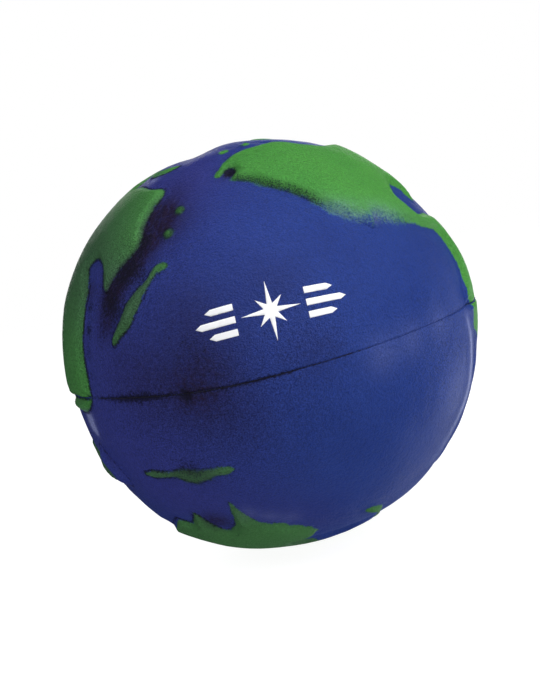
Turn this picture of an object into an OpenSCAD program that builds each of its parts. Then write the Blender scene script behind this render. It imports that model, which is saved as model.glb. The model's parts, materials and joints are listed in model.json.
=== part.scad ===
// Squeezable foam ball moulded as a globe: a soft core in a dense skin, land raised above the sea,
// flash round the middle where the two mould halves met, and a small printed emblem.
// The origin is the ball's centre, +Z runs to the north pole, and the print faces -Y.
// Places on the ball are [longitude, latitude] in degrees: longitude 0 faces -Y and grows towards +X.

/* [Ball] */
// Diameter of the ball over its sea surface
ball_d = 61.6; // [48:0.2:90]
// Height of the land above the sea
relief_h = 0.95; // [0.4:0.05:2]
// Thickness of the dense skin round the soft core
skin_t = 1.2; // [0.8:0.1:2.5]

/* [Parting line] */
// Width of the flash that the mould leaves round the middle
flash_w = 0.6; // [0.3:0.1:1.2]
// Height of the flash's crest above the sea
flash_h = 0.3; // [0.1:0.05:0.6]
// Depth of the flash's root below the sea surface
flash_root = 0.5; // [0.2:0.1:0.7]

/* [Print] */
// Longitude of the print's middle
print_lon = 2; // [-5:1:8]
// Latitude of the print's middle
print_lat = 15.5; // [14:0.5:20]
// Thickness of the ink
ink_t = 0.1; // [0.05:0.05:0.3]
// Diameter of the compass rose over its long points
rose_d = 8.2; // [5:0.2:10]
// Length of the bar at each side of the rose's middle
bar_l = 6; // [3:0.2:7]
// Thickness of each bar
bar_t = 0.9; // [0.4:0.1:1.2]
// Gap between the bars, and between the rose and the bars
bar_gap = 0.8; // [0.4:0.1:1.5]

/* [Small islands] */
// Radius of a small round island
islet_r = 0.8; // [0.5:0.1:1.2]

/* [Hidden] */
$fn = 96;

ball_r = ball_d / 2;
land_r = ball_r + relief_h;
core_r = ball_r - skin_t;
// room round the ball for the blocks that cut it
reach = 2 * land_r;
// the wedges that cut out each land start and end at these distances from the centre
wedge_near = 0.4 * ball_r;
wedge_far = land_r + 1;
// straight steps along each stretch of coast between two chosen points
coast_steps = 3;

sea_blue = [0.16, 0.22, 0.56];
land_green = [0.28, 0.58, 0.29];
ink_white = [0.97, 0.97, 0.96];
foam_grey = [0.75, 0.75, 0.8];
flash_navy = [0.08, 0.1, 0.25];

// Meridians where one continent is moulded against the next
europe_asia_lon = 190;
asia_split_lon = -100;
americas_split_lon = 88;
// Latitude of the open sea between North America's east coast and South America
americas_gap_lat = 25;

// Coasts: the middle that each outline is drawn from, then its points
north_america_mid = [50, 38];
north_america_coast = [
    [-9, 60], [-7.5, 62.5], [-4.5, 65.5], [-1, 68], [5, 70.5], [13, 72], [22, 72.5], [31, 73], [40, 73],
    [46, 72], [51, 69.5], [56, 66.5], [62, 64], [69, 62.5], [77, 61.5], [85, 62], [92, 62], [98, 59],
    [100, 54], [97, 49.5], [90, 46.5], [85, 43.5], [81, 39.5], [79, 35.5], [77, 32.5], [75, 34.5],
    [73.5, 38.5], [70, 40], [66.5, 39], [63.5, 37], [62.5, 34], [63.5, 31], [66.5, 29.3], [71, 28.7],
    [76, 28.3], [80.5, 26.5], [83, 22.5], [83, 18.5], [84, 14.8], [87, 13.5], [91, 12.2], [95, 7], [95, 0],
    [91, -6], [84, -7], [80, -6.5], [76, -4], [72.5, -2], [71, 1], [71.5, 4.5], [73.5, 7], [75, 10.5],
    [75.3, 15], [74.7, 19.5], [72.3, 22.4], [68.5, 24], [64, 25.5], [59, 27], [54, 28.5], [50, 29.5],
    [46.5, 31], [44, 32], [42.3, 30.3], [40, 29.3], [38, 31.3], [35, 33.5], [31.5, 36], [28.5, 38.5],
    [26, 41], [23.5, 43.5], [20, 46.5], [15, 49.5], [10.5, 52], [7, 54.3], [3, 55.5], [-0.5, 56.5],
    [0, 58.5], [1.5, 60.3], [0.5, 61.8], [-2.5, 62], [-4.8, 60.8], [-7, 59.2]];

south_america_mid = [95, -20];
south_america_coast = [
    [84, 14.8], [87, 13.5], [91, 12.2], [97, 10.5], [104, 6], [110, 1], [117, -4], [119, -9], [115, -15],
    [112, -22], [106, -28], [101, -34], [98, -38], [93, -44], [90.5, -50], [91, -55], [86.5, -51],
    [84.5, -42], [85, -34], [86.5, -25], [85.5, -16], [83.5, -10.5], [80, -6.5], [76, -4], [72.5, -2],
    [71, 1], [71.5, 4.5], [76, 10]];

greenland_mid = [117, 72];
greenland_coast = [
    [112, 60], [107, 66], [102, 71], [98, 77], [108, 81.5], [125, 82.5], [138, 80], [134, 74],
    [128, 70], [119, 65]];

europe_mid = [168, 53];
europe_coast = [
    [194, 66.3], [190, 66.3], [186, 67], [180, 70.5], [174, 71], [167, 67.5], [161, 62.5], [160, 58.5],
    [164, 56], [158, 52], [151, 49.5], [153, 45.5], [148, 43.5], [147, 39.5], [152, 37.8], [158, 40.5],
    [163, 43.5], [167, 42.5], [172, 38.5], [174, 40.5], [176, 43.5], [179, 39], [182, 38.5], [186, 37.2],
    [190, 36.7], [194, 36.5], [200, 45], [200, 58]];

asia_west_mid = [-135, 45];
asia_west_coast = [
    [-96, 64.5], [-100, 65.5], [-104, 67], [-109, 70], [-117, 73], [-126, 74], [-135, 70.5],
    [-144, 69.5], [-152, 70.5], [-161, 68], [-166, 66.3], [-170, 66.3], [-174, 66.3], [-180, 58],
    [-180, 45], [-174, 36.7], [-170, 36.7], [-167.5, 35], [-168, 30.5], [-165.5, 25], [-161, 18],
    [-157, 13.5], [-152, 15.5], [-147, 20.5], [-151, 25], [-146, 25.5], [-140, 25.5], [-134, 23.5],
    [-131, 18], [-127.5, 10.5], [-124, 8.5], [-121, 13], [-117, 18], [-111, 21], [-104, 21.5],
    [-100, 21], [-96, 20.5], [-88, 30], [-86, 50]];

asia_east_mid = [-70, 35];
asia_east_coast = [
    [-104, 67], [-100, 65.5], [-96, 64.5], [-88, 62], [-79, 61.5], [-70, 62.3], [-60, 61.5], [-50, 60],
    [-42, 59.5], [-37.5, 58.5], [-36, 56], [-37, 53], [-38, 49], [-38.5, 45], [-38, 41], [-40, 38],
    [-43, 35.5], [-45.7, 33], [-47.5, 30.3], [-49.3, 27.7], [-51.6, 28.6], [-53, 31.5], [-54.5, 34.3],
    [-57, 36.5], [-60.5, 37.6], [-64, 36.6], [-66, 35], [-63.5, 32.3], [-61, 29.5], [-60.5, 25],
    [-60.5, 20], [-60.5, 15], [-60, 10], [-59, 5], [-59, 0], [-61, -2.5], [-64.5, -4.2], [-69, -4.5],
    [-73, -3], [-76, 0], [-78.5, 5], [-81, 11], [-85, 16], [-91, 19.5], [-96, 20.5], [-100, 21],
    [-104, 21.5], [-112, 35], [-114, 55]];

africa_mid = [172, 3];
africa_coast = [
    [147, 33.5], [154, 34.5], [163, 34.2], [167, 31], [175, 29], [183, 29.8], [188.5, 28.5], [191, 23],
    [195, 16], [200, 12], [206, 10.5], [204, 4.5], [200, -1], [196, -6], [197, -12], [195, -16],
    [191, -21], [189, -27], [184, -33], [177, -34.5], [174, -30], [171, -22], [169, -14], [170, -8],
    [166, -1], [165, 4], [158, 5.5], [152, 4.5], [146, 8], [140, 13], [140, 21], [144, 28]];

japan_mid = [-36, 24];
japan_coast = [
    [-25.8, 32.7], [-28.6, 33.5], [-31.2, 32.5], [-33, 30], [-35.5, 28], [-38, 26.1], [-40, 24],
    [-41.5, 21.5], [-42.7, 19.2], [-44.6, 16.5], [-45.4, 14.5], [-44.4, 13.4], [-42.4, 15],
    [-40, 16.7], [-38, 18.5], [-36.6, 20.5], [-35, 23], [-33.2, 25.7], [-31.8, 28.3], [-30.3, 30.2],
    [-28, 31.2]];

arctic_long_mid = [-61, 69];
arctic_long_coast = [
    [-74, 66.8], [-68, 69], [-60, 70.5], [-52, 71.7], [-46, 71.3], [-49, 69], [-56, 67.2], [-66, 66]];

australia_mid = [-80, -23];
australia_coast = [
    [-66, -14], [-64, -17.5], [-61.7, -22], [-60.7, -25.5], [-62.5, -28], [-66.5, -27.3], [-72, -26.3],
    [-79, -29], [-87, -31], [-95, -32.5], [-101, -30.5], [-103, -24.5], [-99, -20], [-93, -17.5],
    [-87, -14.5], [-82, -16.5], [-77, -20.5], [-72, -19.3], [-68.5, -16]];

new_zealand_mid = [-33, -23];
new_zealand_coast = [
    [-48.7, -22.7], [-45.5, -21.5], [-41, -21.9], [-37, -21.8], [-33, -21.4], [-28.5, -22.3],
    [-24, -22], [-20, -21.8], [-17.2, -22.9], [-19.5, -24.4], [-24, -24.7], [-27.3, -25.8],
    [-30.3, -26.4], [-33.5, -25.6], [-36.5, -24], [-40.5, -23.8], [-45, -24]];

madagascar_mid = [203, -19];
madagascar_coast = [[204.5, -13], [206, -16], [204, -22], [201.5, -25.5], [199.5, -23], [200.5, -17.5]];

southern_islet_mid = [33, -54.5];
southern_islet_coast = [
    [26.5, -52.8], [30.5, -52.3], [35.5, -53.3], [38.5, -55.5], [34.5, -57], [30.5, -56.2], [27.5, -54.8]];

antarctica_mid = [0, -90];
antarctica_coast = [
    [-69, -46.5], [-64, -44.5], [-59, -43], [-55, -41.6], [-52, -43], [-49, -43.7], [-45.7, -42],
    [-43, -39.7], [-41.2, -38.5], [-39.9, -40.5], [-39.4, -43], [-38.4, -45.7], [-36.4, -47.7],
    [-34, -48.3], [-31.4, -46.8], [-29, -45.2], [-27.5, -43], [-26.2, -40], [-25.2, -36.5], [-24.1, -34.2],
    [-23, -36.3], [-22.3, -39], [-21, -42], [-19.2, -44.3], [-16, -45.6], [-12.5, -46.9], [-9, -49],
    [-5.5, -50.8], [-2, -53], [0.7, -54.7], [2.7, -56.6], [2.5, -58.7], [-0.5, -60.3], [-6, -61.8],
    [-14, -63.5], [-14, -67], [0, -70], [20, -71], [40, -68], [55, -66], [75, -68], [95, -66],
    [110, -70], [130, -68], [150, -65], [170, -67], [190, -65], [210, -63], [230, -61], [245, -59],
    [260, -56], [272, -52], [282, -48.5]];

// Middles of the small round islands
arctic_islets_at = [[-4, 74.7], [24, 77]];
north_pacific_islets_at = [[-24, 49], [-27, 42]];
north_atlantic_islets_at = [[137, 64.5], [150, 56.5]];

// Unit vector from the centre towards a place on the ball
function heading(place) =
    [cos(place.y) * sin(place.x), -cos(place.y) * cos(place.x), sin(place.y)];

// A place drawn on the flat sheet that touches a ball of radius 1 at mid, seen from the centre
function on_sheet(place, mid) =
    let (
        p = heading(place),
        out = heading(mid),
        east = [cos(mid.x), sin(mid.x), 0],
        north = cross(out, east)
    )
    [p * east, p * north] / (p * out);

// One point of the smooth curve between b and c, with a before them and d after
function between(a, b, c, d, t) =
    (2 * b + (c - a) * t + (2 * a - 5 * b + 4 * c - d) * t * t + (3 * b - a - 3 * c + d) * t * t * t) / 2;

// The closed smooth curve through all points
function coastline(points) =
    let (n = len(points))
    [for (i = [0 : n - 1], k = [0 : coast_steps - 1])
        between(points[(i + n - 1) % n], points[i], points[(i + 1) % n], points[(i + 2) % n],
            k / coast_steps)];

// Corners of a star with a long point at every other one of its points
function star(points, long_r, short_r, waist_r) =
    [for (i = [0 : 2 * points - 1])
        let (r = i % 2 == 1 ? waist_r : i % 4 == 0 ? long_r : short_r, a = 180 * i / points)
        r * [sin(a), cos(a)]];

// Sets its children upright on the ball at a place, with their +Z pointing out
module at_place(place) {
    rotate([90 - place.y, 0, place.x]) children();
}

// Wedge from the centre through an outline on the sheet at mid
module wedge(outline, mid) {
    at_place(mid)
        translate([0, 0, wedge_near])
            linear_extrude(height = wedge_far - wedge_near, scale = wedge_far / wedge_near)
                scale(wedge_near) polygon(outline);
}

// Layer between two spheres
module layer(inner_r, outer_r) {
    difference() {
        sphere(r = outer_r);
        sphere(r = inner_r);
    }
}

// All that lies north of the flash
module north_half() {
    translate([-reach, -reach, flash_w / 2]) cube([2 * reach, 2 * reach, reach]);
}

// All that lies south of the flash
module south_half() {
    mirror([0, 0, 1]) north_half();
}

// All that lies within half a turn east of a meridian
module east_of(lon) {
    rotate([0, 0, lon]) translate([0, -reach, -reach]) cube([reach, 2 * reach, 2 * reach]);
}

// South America's side of the meridian where the two Americas meet
module south_american_side() {
    intersection() {
        east_of(americas_split_lon);
        translate([-reach, -reach, -reach]) cube([2 * reach, 2 * reach, reach + ball_r * sin(americas_gap_lat)]);
    }
}

// Land raised above the sea inside a coast, kept only where it meets its children.
// The layer is turned so that the seam of its two spheres lies on the far side of the ball.
module raised_land(coast, mid) {
    outline = coastline([for (place = coast) on_sheet(place, mid)]);
    color(land_green) intersection() {
        rotate([0, 0, mid.x + 90]) layer(ball_r, land_r);
        wedge(outline, mid);
        children();
    }
}

// Small round islands raised above the sea
module islets(places) {
    slope = islet_r / ball_r;
    color(land_green) intersection() {
        layer(ball_r, land_r);
        union() {
            for (place = places)
                at_place(place)
                    translate([0, 0, wedge_near])
                        cylinder(h = wedge_far - wedge_near, r1 = wedge_near * slope, r2 = wedge_far * slope);
        }
    }
}

// Ink on the sea inside flat shapes, whose sizes are lengths on the ball's surface
module printed(outlines) {
    color(ink_white) intersection() {
        layer(ball_r, ball_r + ink_t);
        union() {
            for (outline = outlines) wedge(outline / ball_r, [print_lon, print_lat]);
        }
    }
}

module foam_core() {
    color(foam_grey) sphere(r = core_r);
}

// Half of the skin, with a rebate at its rim where the flash lies
module half_skin() {
    color(sea_blue) difference() {
        layer(core_r, ball_r);
        translate([-reach, -reach, -reach]) cube([2 * reach, 2 * reach, reach]);
        rotate_extrude() translate([ball_r - flash_root, -flash_w / 2]) square([reach, flash_w]);
    }
}

module ocean_skin_north() {
    half_skin();
}

module ocean_skin_south() {
    mirror([0, 0, 1]) half_skin();
}

module parting_flash() {
    color(flash_navy) rotate_extrude()
        polygon([
            [ball_r - flash_root, -flash_w / 2],
            [ball_r, -flash_w / 2],
            [ball_r + flash_h, 0],
            [ball_r, flash_w / 2],
            [ball_r - flash_root, flash_w / 2]]);
}

module north_america() {
    raised_land(north_america_coast, north_america_mid) difference() {
        north_half();
        south_american_side();
    }
}

module south_america_north() {
    raised_land(south_america_coast, south_america_mid) intersection() {
        north_half();
        south_american_side();
    }
}

module south_america_south() {
    raised_land(south_america_coast, south_america_mid) south_half();
}

module greenland() {
    raised_land(greenland_coast, greenland_mid) north_half();
}

module europe() {
    raised_land(europe_coast, europe_mid) east_of(europe_asia_lon - 180);
}

module asia_west() {
    raised_land(asia_west_coast, asia_west_mid) intersection() {
        east_of(europe_asia_lon);
        east_of(asia_split_lon - 180);
    }
}

module asia_east() {
    raised_land(asia_east_coast, asia_east_mid) intersection() {
        north_half();
        east_of(asia_split_lon);
    }
}

module asia_south() {
    raised_land(asia_east_coast, asia_east_mid) south_half();
}

module africa_north() {
    raised_land(africa_coast, africa_mid) north_half();
}

module africa_south() {
    raised_land(africa_coast, africa_mid) south_half();
}

module madagascar() {
    raised_land(madagascar_coast, madagascar_mid) south_half();
}

module japan() {
    raised_land(japan_coast, japan_mid) north_half();
}

module arctic_long_island() {
    raised_land(arctic_long_coast, arctic_long_mid) north_half();
}

module arctic_islets() {
    islets(arctic_islets_at);
}

module north_pacific_islets() {
    islets(north_pacific_islets_at);
}

module north_atlantic_islets() {
    islets(north_atlantic_islets_at);
}

module australia() {
    raised_land(australia_coast, australia_mid) south_half();
}

module new_zealand() {
    raised_land(new_zealand_coast, new_zealand_mid) south_half();
}

module southern_islet() {
    raised_land(southern_islet_coast, southern_islet_mid) south_half();
}

module antarctica() {
    raised_land(antarctica_coast, antarctica_mid) south_half();
}

module print_compass_rose() {
    long_r = rose_d / 2;
    printed([star(8, long_r, 0.62 * long_r, 0.24 * long_r)]);
}

// Three bars on each side of the rose, the middle one longest, each pointed at its far end
module print_side_bars() {
    start = rose_d / 2 + bar_gap;
    printed([for (side = [-1, 1], row = [-1, 0, 1])
        let (y = row * (bar_t + bar_gap), far = start + bar_l * (1 - 0.3 * abs(row)))
        [[side * start, y - bar_t / 2], [side * (far - bar_t), y - bar_t / 2], [side * far, y],
            [side * (far - bar_t), y + bar_t / 2], [side * start, y + bar_t / 2]]]);
}

foam_core();
ocean_skin_north();
ocean_skin_south();
parting_flash();
north_america();
greenland();
south_america_north();
europe();
asia_west();
asia_east();
africa_north();
japan();
arctic_long_island();
arctic_islets();
north_pacific_islets();
north_atlantic_islets();
asia_south();
south_america_south();
africa_south();
madagascar();
australia();
new_zealand();
antarctica();
southern_islet();
print_compass_rose();
print_side_bars();
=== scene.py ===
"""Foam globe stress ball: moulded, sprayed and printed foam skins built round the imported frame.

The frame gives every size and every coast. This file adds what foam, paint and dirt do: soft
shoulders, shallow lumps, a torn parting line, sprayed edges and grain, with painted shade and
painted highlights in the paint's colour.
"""

import json
import math

import bmesh
import bpy
import numpy as np
from bpy.props import FloatProperty, FloatVectorProperty, IntProperty, PointerProperty
from mathutils import Matrix, Vector
from mathutils.bvhtree import BVHTree
from mathutils.kdtree import KDTree


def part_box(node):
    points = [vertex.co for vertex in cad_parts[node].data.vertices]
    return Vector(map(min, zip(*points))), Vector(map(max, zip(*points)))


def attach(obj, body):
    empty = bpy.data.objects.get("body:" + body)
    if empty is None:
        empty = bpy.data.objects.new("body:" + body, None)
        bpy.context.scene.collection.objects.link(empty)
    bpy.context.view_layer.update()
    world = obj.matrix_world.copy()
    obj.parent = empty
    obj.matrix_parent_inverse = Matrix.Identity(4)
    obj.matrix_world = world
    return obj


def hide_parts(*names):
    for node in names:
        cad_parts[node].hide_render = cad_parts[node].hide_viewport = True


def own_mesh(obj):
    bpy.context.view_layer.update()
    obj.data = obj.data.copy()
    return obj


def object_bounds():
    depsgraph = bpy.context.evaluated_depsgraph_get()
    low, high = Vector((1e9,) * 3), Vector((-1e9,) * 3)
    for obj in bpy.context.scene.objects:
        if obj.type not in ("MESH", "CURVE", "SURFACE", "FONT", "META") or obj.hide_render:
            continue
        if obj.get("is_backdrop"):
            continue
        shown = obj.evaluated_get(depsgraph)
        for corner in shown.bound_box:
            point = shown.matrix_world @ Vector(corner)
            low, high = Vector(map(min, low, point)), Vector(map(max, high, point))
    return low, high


bl_info = {
    "name": "Foam globe stress ball",
    "version": (1, 0, 0),
    "blender": (4, 5, 0),
    "location": "3D View > Sidebar > Foam globe",
    "description": "Builds a squeezable foam globe round its packed frame",
    "category": "Mesh",
}

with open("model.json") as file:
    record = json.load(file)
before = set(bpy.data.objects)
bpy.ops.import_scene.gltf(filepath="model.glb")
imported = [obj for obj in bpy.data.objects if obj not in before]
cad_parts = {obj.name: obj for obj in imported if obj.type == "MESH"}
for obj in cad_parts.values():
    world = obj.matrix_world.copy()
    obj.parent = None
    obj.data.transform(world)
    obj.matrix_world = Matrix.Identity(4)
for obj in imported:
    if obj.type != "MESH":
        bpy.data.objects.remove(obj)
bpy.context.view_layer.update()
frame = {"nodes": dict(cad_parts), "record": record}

MM = 0.001
NORTH = "northern_half"
SLOT_OF = {row["node"]: row["material_slot"] for row in frame["record"]["subparts"]}
BODY_OF = {
    node: body for body, nodes in frame["record"]["behaviour"]["bodies"].items() for node in nodes
}
LANDS = [node for node, slot in SLOT_OF.items() if slot == "land_paint"]
PRINTS = [node for node, slot in SLOT_OF.items() if slot == "print_ink"]

# Radii in millimetres, all from the frame
SEA_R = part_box("ocean_skin_north")[1].z / MM
CORE_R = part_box("foam_core")[1].z / MM
LAND_R = -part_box("antarctica")[0].z / MM
# Half the width that the flash takes between the two halves
FLASH_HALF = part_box("parting_flash")[1].z / MM

# Rounds of relaxing that even out a half skin's grid
RELAX_ROUNDS = 40

# Places that differ from the even skin. Each is a longitude and a latitude in degrees (longitude 0
# faces -Y and grows towards +X), a radius in degrees, and how strong it is.
# Dents in millimetres, where the foam has sunk after moulding, and below zero where it has swollen
DENTS = [
    (-85, -11, 8, 0.45), (-84, -21, 6, 0.3), (-80, -46, 9, -0.6), (-86, 10, 8, 0.2),
    (-92, 34, 12, 0.25), (90, 47, 9, 0.65), (98, 62, 5, -0.25), (86, 16, 10, -0.4), (84, -24, 11, -0.4),
    (20, -76, 16, 0.6), (-55, -74, 9, 0.4), (76, -56, 8, -0.25), (-1.2, 60.4, 1.8, 0.25),
    (43, 30.9, 1.1, 0.35), (-24, -0.6, 0.9, 0.15), (-40, 36, 9, 0.3), (-33, -45, 5, 0.2),
    (160, -30, 12, 0.3), (-140, -20, 14, 0.3), (-59, 79.5, 6, 0.6), (-116, 79.5, 6, 0.6),
]
# Where a land stands less proud than its mould, as a share of its height
LOW = [
    (-26, 45, 7, 0.6), (12, 76, 12, 0.5), (-45, 24, 12, 0.35), (-32, -24, 10, 0.3), (117, 72, 12, 0.75),
    (-140, 77, 13, 0.8), (-70, 68, 14, 0.5), (-78, -30, 8, 0.4), (52, -66, 10, 0.5), (165, 60, 14, 0.3),
    (-150, 20, 12, 0.3),
]
# Painted shade: the paint darkened to purple in hollows, along coasts, in bays and across the front's left
# and middle near the seam
PAINTED_SHADE = [
    (-34, 49, 5, 0.9), (-36, 42, 5.5, 1.0), (-41, 35, 6, 1.0), (-47, 27, 5.5, 1.0), (-48, 19, 4, 0.55),
    (-1.2, 60.2, 2.6, 1.0), (-35, -43, 4.5, 0.8), (-27, 46, 7, 0.6), (-30, 57, 6, 0.3),
    (5, 22, 9, 0.25), (-20, 20, 10, 0.35), (-60, 28, 3, 0.5), (-15, 6, 11, 0.4), (-38, 6, 12, 0.35),
    (-30, -2, 14, 0.2), (120, 20, 10, 0.5), (150, -20, 9, 0.4), (-150, 5, 8, 0.4), (-20, -5, 12, 0.25),
    (10, 4, 9, 0.25), (-10, -12, 10, 0.2), (-67, -20, 4, 0.6), (-22, 0, 7, 0.25),
]
# Where the blue leans to violet
VIOLET = [
    (-65, 10, 45, 1.0), (-40, 64, 22, 1.0), (-35, -35, 25, 0.7), (-5, -50, 14, 0.4),
    (170, -10, 50, 0.7),
]
# Dark soot-like specks: dirt at the seam and coasts, and painted shade in the hook's bay and across the
# front's left near the seam
SOOT_AND_SHADE = [
    (-0.8, 60.8, 2.3, 1.2), (-24, -0.5, 1.0, 0.8), (-24, -0.6, 3, 0.5), (-16, 4, 9, 0.35),
    (3, 3, 9, 0.3), (-22, 12, 7, 0.3), (-34, 49, 3.5, 0.4), (-38, 41, 4.5, 0.8), (-43, 33, 5, 0.85),
    (-48, 25, 5, 0.7), (-50, 16, 5, 0.45), (-35, 31, 4, 0.5), (-41, 21, 5, 0.55), (-31, -23, 6, 0.65),
    (-14, -10, 10, 0.25), (-40, -6, 14, 0.2), (130, 2, 6, 0.5), (-130, -2, 5, 0.5), (175, 40, 6, 0.3),
    (16, 3, 5, 0.4), (-58, 24, 2.5, 0.7), (-57.5, 18, 2.5, 0.7), (-57.5, 12, 2.5, 0.6),
    (-57.5, 6, 2.5, 0.5),
]
# The low coast where the green was sprayed past its mask: dark specks, then a pale fade. Along Australia's
# edge at the left limb and in the hollow by Japan the dark specks are painted shade.
CHARRED_AND_SHADED = [
    (3, 57, 3.5, 0.8), (8, 54, 3.5, 1.0), (14, 50.5, 3.5, 1.0), (20, 47, 3.5, 1.0), (25, 43, 3.5, 0.9),
    (30, 39.5, 3.5, 0.6), (-27, 42, 3, 0.9), (-24, 49, 3, 0.9), (-40, 24, 12, 0.22),
    (-31, -24, 9, 0.95), (-45, 50, 8, 0.3), (12, 76, 7, 0.4), (-31, 30, 7, 0.3), (-69, -19, 5, 0.9),
    (-67, -27, 5, 0.8),
]
FADED = [
    (29, 39.5, 3.5, 0.5), (34, 36.5, 4, 0.8), (39, 34.5, 4.5, 1.0), (44, 32.5, 4, 1.0),
    (49, 32, 4, 0.7), (55, 30.5, 5, 0.4), (190, 30, 6, 0.6), (-120, 12, 6, 0.6),
]
# Painted shade: where the green is darkened and greyed, on the left and underside of the ball
GREEN_SHADE = [
    (-95, 25, 32, 0.9), (-60, 45, 22, 0.6), (-45, 22, 14, 0.8), (-33, -24, 20, 1.0),
    (-90, -25, 25, 0.9), (0, -90, 48, 1.1), (-34, 28, 8, 0.5), (-72, -22, 9, 0.9),
]
# Raised land that the green spray missed, so that it is as blue as the sea
MISSED = [
    (65, 8, 6, 0.35), (65, 0, 5, 0.35), (70, -6, 6, 0.35), (84, -16, 5, 0.7), (84, -23, 6, 1.0),
    (84, -31, 6, 1.0), (83, -39, 6, 1.0), (84, -47, 6, 1.0), (-63, -15, 4, 0.3), (-62, -21, 4, 0.3),
    (-62, -27, 4, 0.3), (-70, -38, 6, 1.2), (40, -66, 6, 0.9), (28, -72, 6, 0.6), (40, 31.5, 4, 0.12),
]
# Pale patches: mostly painted highlights and sheen along the limbs, the arctic ridge, below the seam and
# above Antarctica; the few on the back are rubs where the skin has been scraped white
RUBS_AND_HIGHLIGHTS = [
    (-65.5, -6.5, 2.8, 1.3), (-64.5, -9.5, 1.8, 1.0), (28, -2.8, 5, 0.3), (38, -1.8, 5, 0.3),
    (50, -0.4, 5, 0.3), (-20, -40, 2.5, 0.3), (-14, -43, 2.5, 0.3), (-7, -45.5, 3, 0.25),
    (60, -20, 9, 0.25), (43.5, 32, 1.3, 0.5), (150, 20, 5, 0.5), (-160, -25, 5, 0.5),
    (70, -4, 2.4, 0.6), (71.5, -8, 2.6, 0.7), (72.5, -12, 2.6, 0.75), (73, -16, 2.6, 0.75),
    (73, -20, 2.6, 0.75), (72.5, -24, 2.6, 0.7), (71, -28, 2.6, 0.7), (69, -31.5, 2.4, 0.6),
    (66, -34.5, 2.4, 0.55), (62.5, -37.5, 2.4, 0.5), (59, -41, 2.4, 0.4), (-60, 65, 2.5, 0.6),
    (-42, 74, 2.5, 0.5), (-20, 78, 2.5, 0.4),
]
# Where the skin's grain holds dirt and shows most
GRAINY = [
    (-38, -4, 28, 0.9), (-8, -10, 18, 0.6), (-50, 30, 15, 0.6), (10, 8, 14, 0.5), (55, -8, 18, 1.0),
    (130, -10, 30, 0.6), (-140, 20, 30, 0.6), (-33, 36, 14, 0.6), (30, 58, 24, 0.5), (-80, 35, 22, 0.4),
    (0, -85, 25, 0.4),
]

# Hills along the parting line: a longitude and half a width in degrees, and a height.
# How far the line wanders up, in millimetres
WANDER = [(50, 28, 0.42), (-16, 22, -0.5)]
# How far one mould half stands past the other, in millimetres
MISMATCH = [(-92, 22, 0.13), (84, 20, -0.12)]

# How far from its outline, in millimetres, a land that the spray wholly missed loses its green
MISSED_REACH = 9

MARKS = (
    "coast", "ragged", "soft", "soot_and_shade", "painted_shade", "char_and_shade", "fade", "grime_and_shade", "green_shade", "rubs_and_highlights", "grainy",
    "violet")


def linear(code):
    """A colour for Blender from an sRGB hex code such as #3a5f9c."""
    parts = [int(code[i : i + 2], 16) / 255 for i in (1, 3, 5)]
    return tuple(c / 12.92 if c <= 0.04045 else ((c + 0.055) / 1.055) ** 2.4 for c in parts)


def unit(vectors):
    """The vectors, each made one long."""
    return vectors / np.linalg.norm(vectors, axis=-1, keepdims=True)


def heading(lon, lat):
    """Direction from the ball's centre towards a place."""
    lon, lat = math.radians(lon), math.radians(lat)
    return np.array([math.cos(lat) * math.sin(lon), -math.cos(lat) * math.cos(lon), math.sin(lat)])


def smooth(share):
    """Eases from 0 to 1 as share does, and stays level beyond."""
    share = np.clip(share, 0, 1)
    return share * share * (3 - 2 * share)


def patches(directions, places):
    """How strongly each direction lies in soft round patches."""
    total = np.zeros(len(directions))
    for lon, lat, radius, strength in places:
        angle = np.degrees(np.arccos(np.clip(directions @ heading(lon, lat), -1, 1)))
        total += strength * np.exp(-((angle / radius) ** 2))
    return total


def hills(lon, places):
    """Height at each longitude of a row of smooth hills."""
    return sum(height * np.exp(-(((lon - middle) / width) ** 2)) for middle, width, height in places)


def ripples(points, length, seed, waves=28):
    """Smooth random heights of about -1 to 1: waves of one length that run in random directions."""
    draw = np.random.default_rng(seed)
    runs = unit(draw.normal(size=(waves, 3))) * 2 * math.pi / length
    starts = draw.uniform(0, 2 * math.pi, waves)
    return np.sin(points @ runs.T + starts).sum(1) * math.sqrt(2 / waves) / 2


class Outline:
    """Straight pieces of edge, and how far any point is from the nearest of them."""

    STEP = 0.25

    def __init__(self, starts, ends):
        self.starts = starts
        self.ends = ends
        lengths = np.linalg.norm(ends - starts, axis=1)
        counts = np.maximum(1, np.ceil(lengths / self.STEP)).astype(int)
        self.piece = np.repeat(np.arange(len(starts)), counts)
        first = np.repeat(np.cumsum(counts) - counts, counts)
        share = (np.arange(len(self.piece)) - first + 0.5) / np.repeat(counts, counts)
        points = starts[self.piece] + share[:, None] * (ends - starts)[self.piece]
        self.tree = KDTree(len(points))
        for i, point in enumerate(points):
            self.tree.insert(point, i)
        self.tree.balance()

    def distance(self, points):
        nearest = self.piece[[self.tree.find(point)[1] for point in points]]
        a = self.starts[nearest]
        along = self.ends[nearest] - a
        share = np.clip(((points - a) * along).sum(1) / (along**2).sum(1), 0, 1)
        return np.linalg.norm(points - a - share[:, None] * along, axis=1)


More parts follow.
